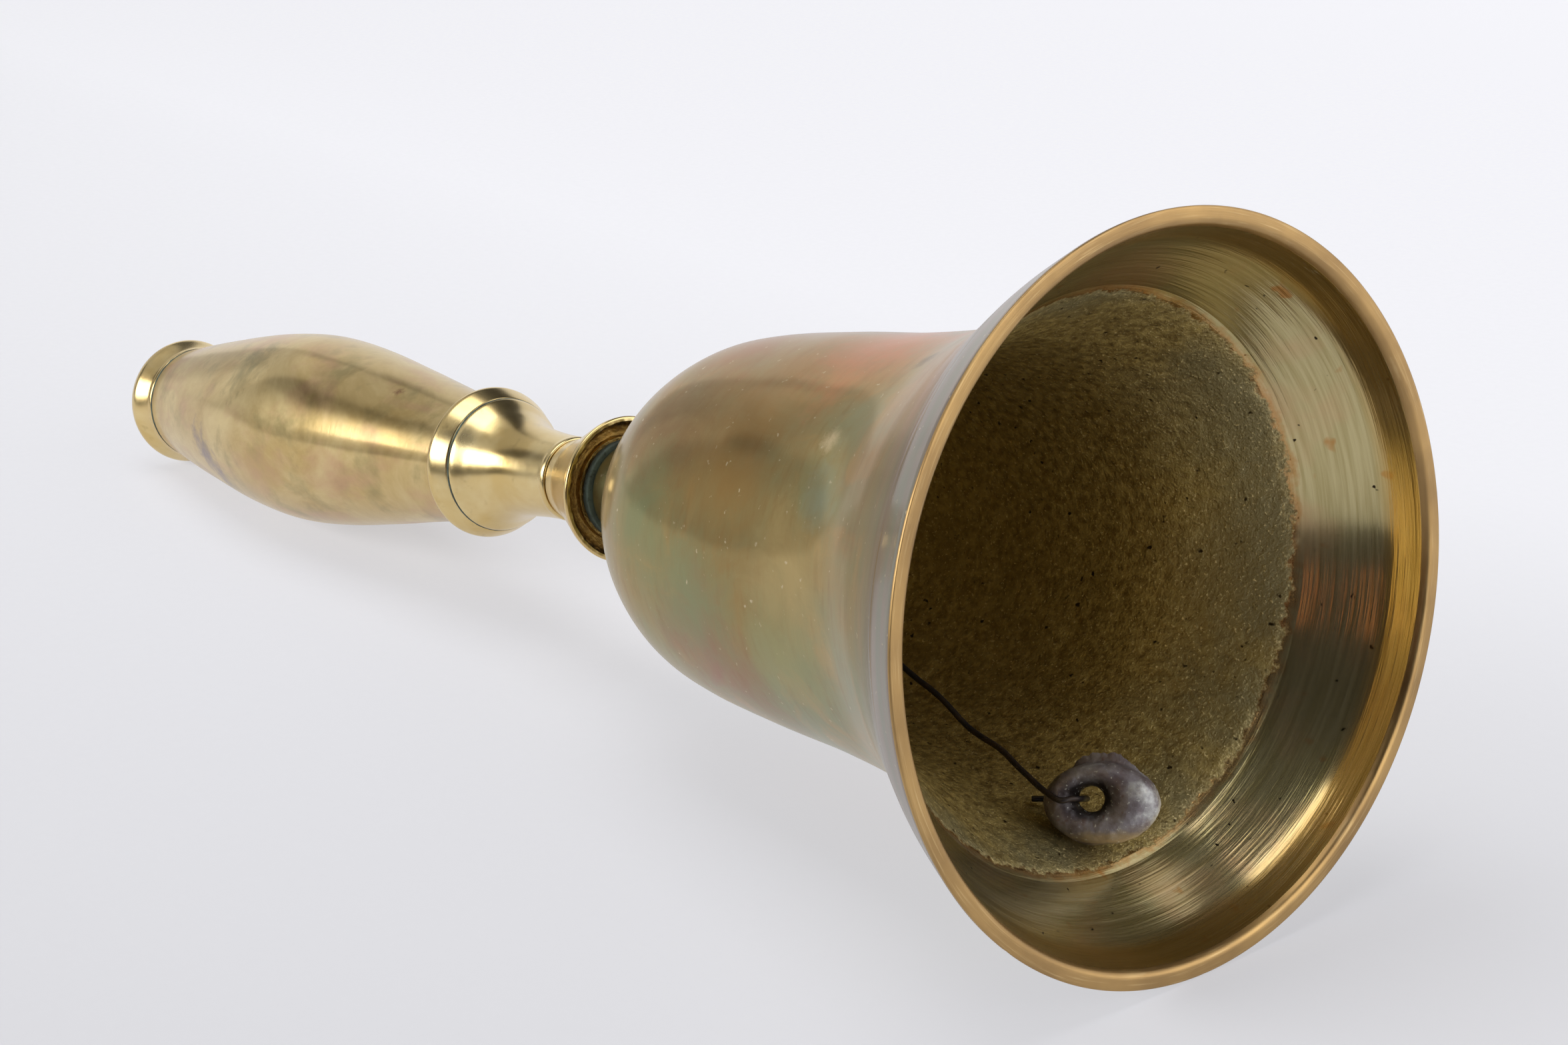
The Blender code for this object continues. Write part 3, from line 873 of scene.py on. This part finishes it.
def makeInnerWasher():
    low, thick = innerWasher["low"], innerWasher["thick"]
    radius, bore = innerWasher["radius"], innerWasher["bore"]
    outline = zoned([(bore, low + thick)], 0)
    outline += zoned(roundEdge((bore, low + thick), (radius, low + thick), (radius, low), 0.3), 0)
    outline += zoned(roundEdge((radius, low + thick), (radius, low), (bore, low), 0.3), 0)
    outline += zoned([(bore, low)], 0)
    fit(spinOutline("crownWasher", outline, 96, [dullSteel]), "bell", "rod_steel", "inner_washer")


nut = {"flats": 10.0, "height": 4.3, "top": 106.2, "bore": 3.4, "chamfer": 0.6}


def makeNut():
    sides, rows = 96, []
    top, low = nut["top"], nut["top"] - nut["height"]
    corner = nut["flats"] / 2 / math.cos(math.pi / 6)
    flank = (2, top - nut["chamfer"]), (2, low + nut["chamfer"])
    levels = [(0, top), (1, top), *flank, (1, low), (0, low)]
    for column in range(sides):
        turn = 2 * math.pi * column / sides
        hexagon = nut["flats"] / 2 / math.cos((turn + math.pi / 6) % (math.pi / 3) - math.pi / 6)
        reach = {0: nut["bore"], 1: min(hexagon, corner - nut["chamfer"]), 2: hexagon}
        for kind, height in levels:
            far = reach[kind]
            rows.append(Vector((far * math.cos(turn), far * math.sin(turn), height)) * millimetre)
    mesh = bpy.data.meshes.new("hexNut")
    mesh.from_pydata(rows, [], ringFaces(sides, len(levels)))
    fit(finishMesh("hexNut", mesh, [dullSteel], 25), "bell", "rod_steel", "inner_nut")


makeRod()
makeInnerWasher()
makeNut()
print("rod, washer and nut made")

iron = {"black": "2A2A2F", "brown": "3A2E26", "shine": "5A5A62", "roughness": 0.34}


def ironMaterial():
    made, tree, shader = newMaterial("blackIron")
    place = addNode(tree, "TexCoord").outputs["Object"]
    cloud = speckle(tree, place, 350, 4, 0.6)
    base = blendTones(tree, spread(tree, cloud, 0.4, 0.65), iron["black"], iron["brown"])
    shine = spread(tree, speckle(tree, place, 1400, 3), 0.62, 0.75, 0, 0.7)
    base = blendTones(tree, shine, base, iron["shine"])
    rough = spread(tree, cloud, 0.3, 0.7, iron["roughness"] - 0.08, iron["roughness"] + 0.2)
    feed(
        tree,
        shader,
        Base_Color=base,
        Metallic=0.6,
        Roughness=rough,
        Normal=relief(tree, cloud, 0.00008, 0.7),
    )
    return made


blackIron = ironMaterial()
eye = {"centre": 96.3, "ring": 2.7, "wire": 0.95, "neck": 1.1, "head": 1.65}


def makeEye():
    end, head, neck = rod["end"], eye["head"], eye["neck"]
    foot = eye["centre"] + eye["ring"]
    outline = zoned([(0, end + 3.3), (head - 0.2, end + 3.3), (head, end + 3.1)], 0)
    outline += zoned([(head, end + 1.9), (neck, end + 1.9), (neck, end - 0.2)], 0)
    outline += zoned([(neck + 0.15, foot + 0.4), (neck + 0.2, foot), (0, foot)], 0)
    shank = spinOutline("swivelEye", outline, 48, [blackIron])
    around, across = 96, 32
    points = []
    for i in range(around):
        turn = 2 * math.pi * i / around
        thick = eye["wire"] * (1 + 0.05 * math.cos(2 * turn))
        for j in range(across):
            roll = 2 * math.pi * j / across
            reach = eye["ring"] + thick * math.cos(roll)
            x, z = reach * math.sin(turn), eye["centre"] + reach * math.cos(turn)
            points.append(Vector((x, thick * math.sin(roll), z)) * millimetre)
    mesh = bpy.data.meshes.new("eyeLoop")
    mesh.from_pydata(points, [], ringFaces(around, across))
    loop = finishMesh("eyeLoop", mesh, [blackIron])
    join = shank.modifiers.new("join", "BOOLEAN")
    join.operation = "UNION"
    join.object = loop
    bpy.context.view_layer.update()
    graph = bpy.context.evaluated_depsgraph_get()
    joined = bpy.data.meshes.new_from_object(shank.evaluated_get(graph))
    shank.modifiers.clear()
    shank.data = joined
    joined.shade_smooth()
    joined.set_sharp_from_angle(angle=math.radians(40))
    bpy.data.objects.remove(loop)
    fit(shank, "swivel", "iron_wire", "clapper_eye")


makeEye()

clapper = {
    "wireRadius": 0.42,
    "right": (0.0205, 0.559, -0.829),
    "halfWidth": 7.85,
    "halfHeight": 5.4,
    "halfThickness": 2.75,
    "middle": (2.2, -0.55),
    "holeRadius": 1.75,
    "hole": (0.95, 0.0),
    "flash": ((86, 30, 1.5), (245, 24, 0.8), (300, 30, 0.35), (20, 30, 0.3)),
    "run": [
        (-8.3, -0.9, 74.0),
        (-17.2, -2.4, 53.9),
        (-20.0, -2.9, 46.0),
        (-23.2, -3.5, 39.5),
        (-24.9, -4.1, 32.4),
        (-26.7, -5.2, 27.0),
    ],
}


def weightAxes():
    inward = bellPlace.inverted()
    place = inward @ Vector(joints["weight_swing"]["pos_m"]) / millimetre
    face = (inward.to_3x3() @ Vector(joints["weight_swing"]["axis"])).normalized()
    right = Vector(clapper["right"]).normalized()
    right = (right - face * right.dot(face)).normalized()
    return place, right, face.cross(right), face


def makeWire():
    inside, right, _, face = weightAxes()
    pivot = Vector((0, 0, pivotHeight))
    run = [Vector(p) for p in clapper["run"]]
    along, aside, bend = (run[1] - pivot).normalized(), Vector((0, 1, 0)), 2.0
    route = [pivot + along * 8.5 - aside * 1.6, pivot + along * 5.0 - aside * bend]
    for step in range(9):
        turn = math.pi * (step / 8 - 0.5)
        route.append(pivot + along * bend * (1 - math.cos(turn)) + aside * bend * math.sin(turn))
    route += [pivot + along * 5.0 + aside * bend, pivot + along * 9.0 + aside * 0.8]
    hook = [
        (3.9, 3.2),
        (3.3, 1.0),
        (1.9, 0.1),
        (0, 0),
        (-1.9, 0.1),
        (-3.3, 1.0),
        (-3.9, 3.2),
        (-3.7, 5.6),
        (-3.0, 8.0),
    ]
    route += run + [inside + face * out - right * back for out, back in hook]
    data = bpy.data.curves.new("clapperWire", "CURVE")
    data.dimensions = "3D"
    data.bevel_depth = clapper["wireRadius"] * millimetre
    data.bevel_resolution = 5
    data.use_fill_caps = True
    smooth = curveThrough(route, 8)
    spline = data.splines.new("POLY")
    spline.points.add(len(smooth) - 1)
    for index, (point, place) in enumerate(zip(spline.points, smooth)):
        kink = Vector([noise.noise(place / 4 + Vector((7 * axis, 0, 0))) for axis in range(3)]) * 0.12
        point.co = (*((place + kink * min(1, (len(smooth) - index) / 60)) * millimetre), 1)
        ends = min(index, len(smooth) - 1 - index)
        point.radius = 0.86 if ends == 0 else 1 + 0.04 * noise.noise(place / 2)
    data.materials.append(blackIron)
    piece = bpy.data.objects.new("clapperWire", data)
    piece.data.transform(bellPlace)
    bpy.context.scene.collection.objects.link(piece)
    fit(piece, "clapper", "iron_wire", "clapper_wire")


makeWire()

lead = {
    "dark": "6E6468",
    "grey": "98959A",
    "oxide": "CFD1CC",
    "brown": "6B4030",
    "shadow": "1E1712",
    "tan": "B09C76",
    "roughness": 0.42,
}


def leadMaterial():
    made, tree, shader = newMaterial("oldLead")
    place = addNode(tree, "TexCoord").outputs["Object"]
    cloud = speckle(tree, place, 260, 5, 0.6)
    grain = speckle(tree, place, 1300, 4, 0.65)
    base = blendTones(tree, spread(tree, cloud, 0.4, 0.65), lead["dark"], lead["grey"])
    brown = spread(tree, speckle(tree, place, 600, 3), 0.6, 0.75, 0, 0.7)
    base = blendTones(tree, brown, base, lead["brown"])
    x, y = addNode(tree, "SeparateXYZ", {0: place}).outputs[:2]
    rightSide = spread(tree, x, 0.006, 0.0115)
    rightSide = calc(tree, "ADD", rightSide, spread(tree, cloud, 0.35, 0.65, -0.45, 0.45))
    oxide = spread(tree, rightSide, 0.35, 1.0)
    oxide = calc(tree, "MULTIPLY", oxide, spread(tree, grain, 0.35, 0.6, 0.35, 0.95))
    base = blendTones(tree, oxide, base, lead["oxide"])
    inX, inY = calc(tree, "SUBTRACT", x, 0.0011), calc(tree, "MULTIPLY", y, 1.15)
    squares = calc(tree, "ADD", calc(tree, "MULTIPLY", inX, inX), calc(tree, "MULTIPLY", inY, inY))
    reach = calc(tree, "SQRT", squares)
    reach = calc(tree, "ADD", reach, spread(tree, cloud, 0.3, 0.7, -0.0006, 0.0006))
    base = blendTones(tree, spread(tree, reach, 0.0042, 0.0025, 0, 0.9), base, lead["shadow"])
    low = spread(tree, y, -0.0038, -0.0052)
    low = calc(tree, "ADD", low, spread(tree, cloud, 0.35, 0.65, -0.4, 0.4))
    base = blendTones(tree, spread(tree, low, 0.4, 1.0, 0, 0.7), base, lead["tan"])
    specks = spread(tree, speckle(tree, place, 2100, 2), 0.66, 0.72, 0, 0.8)
    base = blendTones(tree, specks, base, lead["oxide"])
    rough = spread(tree, cloud, 0.3, 0.7, lead["roughness"] - 0.1, lead["roughness"] + 0.22)
    bump = relief(tree, cloud, 0.0003, 0.5)
    feed(
        tree,
        shader,
        Base_Color=base,
        Metallic=0.45,
        Roughness=rough,
        Normal=relief(tree, grain, 0.0001, 0.6, bump),
    )
    return made


def makeWeight():
    inside, right, up, face = weightAxes()
    around, across = 240, 72
    middle, hole = Vector((*clapper["middle"], 0)), Vector((*clapper["hole"], 0))
    points = []
    for i in range(around):
        turn = 2 * math.pi * i / around
        facing = Vector((math.cos(turn), math.sin(turn), 0))
        ragged = Vector((math.cos(turn) * 3, math.sin(turn) * 3, 0))
        fin = 0.0
        for angle, width, reach in clapper["flash"]:
            off = (math.degrees(turn) - angle + 180) % 360 - 180
            fin += reach * math.exp(-((off / width) ** 4))
        fin *= 0.95 + 0.35 * noise.noise(ragged * 1.3) + 0.15 * noise.noise(ragged * 6)
        wide, tall = clapper["halfWidth"] * math.cos(turn), clapper["halfHeight"] * math.sin(turn)
        rim = middle + Vector((wide, tall, 0))
        inner = hole + facing * clapper["holeRadius"]
        for j in range(across):
            roll = 2 * math.pi * j / across
            near = abs((roll + 0.45 + math.pi) % (2 * math.pi) - math.pi)
            place = inner.lerp(rim, 0.5 + 0.5 * math.cos(roll))
            place += (rim - middle).normalized() * max(0, fin) * math.exp(-((near / 0.17) ** 2))
            place.z = clapper["halfThickness"] * math.sin(roll)
            lump = noise.fractal(place / 2.4, 1.0, 2.0, 4) * 0.16
            x, y = math.cos(turn) * math.cos(roll), math.sin(turn) * math.cos(roll)
            place += Vector((x, y, math.sin(roll))) * lump
            points.append(place * millimetre)
    mesh = bpy.data.meshes.new("leadWeight")
    mesh.from_pydata(points, [], ringFaces(around, across))
    piece = finishMesh("leadWeight", mesh, [leadMaterial()], 50, place=Matrix())  # in its own axes
    turned = Matrix((right, up, face)).transposed().to_4x4()
    piece.matrix_world = bellPlace @ Matrix.Translation(inside * millimetre) @ turned
    fit(piece, "weight", "lead", "clapper_ring")


makeWeight()
print("clapper hung")

studio = {
    "paper": "98989B",
    "glow": "FAFAFF",
    "frontGlow": 0.385,
    "backGlow": 0.61,
    "farGlow": 0.12,
    "tableFront": -0.21,
    "tableLeft": -1.4,
    "tableRight": 1.5,
    "tableBack": 1.1,
    "tableBend": 0.35,
    "tableRise": 1.0,
    "room": 0.035,
}


def makeTable():
    front, left, right = studio["tableFront"], studio["tableLeft"], studio["tableRight"]
    back, bend, rise, steps = studio["tableBack"], studio["tableBend"], studio["tableRise"], 20
    profile = [(front, -0.02), (front, 0.0), (0.3, 0.0), (back, 0.0)]
    for step in range(1, steps + 1):
        turn = math.pi / 2 * step / steps
        profile.append((back + bend * math.sin(turn), bend * (1 - math.cos(turn))))
    profile.append((back + bend, rise))
    points = [(side, run, up) for run, up in profile for side in (left, right)]
    faces = [(2 * i, 2 * i + 1, 2 * i + 3, 2 * i + 2) for i in range(len(profile) - 1)]
    mesh = bpy.data.meshes.new("lightTable")
    mesh.from_pydata(points, [], faces)
    mesh.shade_smooth()
    acrylic, tree, shader = newMaterial("litPaper")
    place = addNode(tree, "TexCoord").outputs["Object"]
    back = addNode(tree, "SeparateXYZ", {0: place}).outputs[1]
    nearGlow = spread(tree, back, -0.17, 0.19, studio["frontGlow"], studio["backGlow"])
    farGlow = spread(tree, back, 0.15, 0.9, 0, studio["farGlow"])
    grain = speckle(tree, place, 500, 3)
    feed(
        tree,
        shader,
        Base_Color=tone(studio["paper"]),
        Emission_Color=tone(studio["glow"]),
        Emission_Strength=calc(tree, "ADD", nearGlow, farGlow),
        Roughness=spread(tree, grain, 0.3, 0.7, 0.6, 0.8),
        Normal=relief(tree, grain, 0.0001, 0.1),
    )
    shader.inputs["Specular IOR Level"].default_value = 0.15
    mesh.materials.append(acrylic)
    table = bpy.data.objects.new("lightTable", mesh)
    bpy.context.scene.collection.objects.link(table)


def softbox(name, place, target, size, glow, colour=(1, 1, 1)):
    data = bpy.data.lights.new(name, "AREA")
    data.shape = "RECTANGLE"
    data.size, data.size_y = size
    data.energy = glow * math.pi * size[0] * size[1]
    data.color = colour
    lamp = bpy.data.objects.new(name, data)
    lamp.location = place
    lamp.rotation_euler = (Vector(target) - Vector(place)).to_track_quat("-Z", "Y").to_euler()
    bpy.context.scene.collection.objects.link(lamp)


def lightStudio():
    world = bpy.data.worlds.new("studio")
    bpy.context.scene.world = world
    world.use_nodes = True
    background = world.node_tree.nodes["Background"]
    background.inputs["Color"].default_value = (1, 1, 1, 1)
    background.inputs["Strength"].default_value = studio["room"]
    softbox("overhead", (-0.11, -0.08, 1.0), (-0.11, -0.08, 0), (0.78, 0.64), 3.0)
    softbox("frontLeft", (-0.405, -0.78, 0.32), (-0.405, 0, 0.1), (0.85, 0.36), 6.0)
    softbox("farLeft", (-1.7, -0.75, 0.15), (0, 0, 0.1), (1.5, 1.2), 0.3)
    softbox("leftCard", (studio["tableLeft"], 0, 0.45), (0, 0, 0.45), (0.7, 0.9), 0.52)
    softbox("backLeft", (studio["tableLeft"], 0.925, 0.45), (0, 0.925, 0.45), (1.15, 0.9), 0.95)
    softbox("backHigh", (0.75, 0.95, 1.25), (0.13, 0, 0), (1.0, 0.8), 0.8)
    softbox("leftHigh", (-0.74, -0.37, 1.05), (0.05, 0, 0.08), (1.6, 0.95), 0.45)
    softbox("rightCard", (1.3, 0.45, 0.6), (0.1, 0, 0.05), (1.7, 1.2), 1.9)
    softbox("woodDoor", (0.73, -1.29, 0.36), (0.13, 0, 0.05), (0.16, 0.5), 0.6, (1.0, 0.38, 0.18))
    bpy.context.scene.view_settings.view_transform = "Standard"


makeTable()
lightStudio()
print("studio lit")
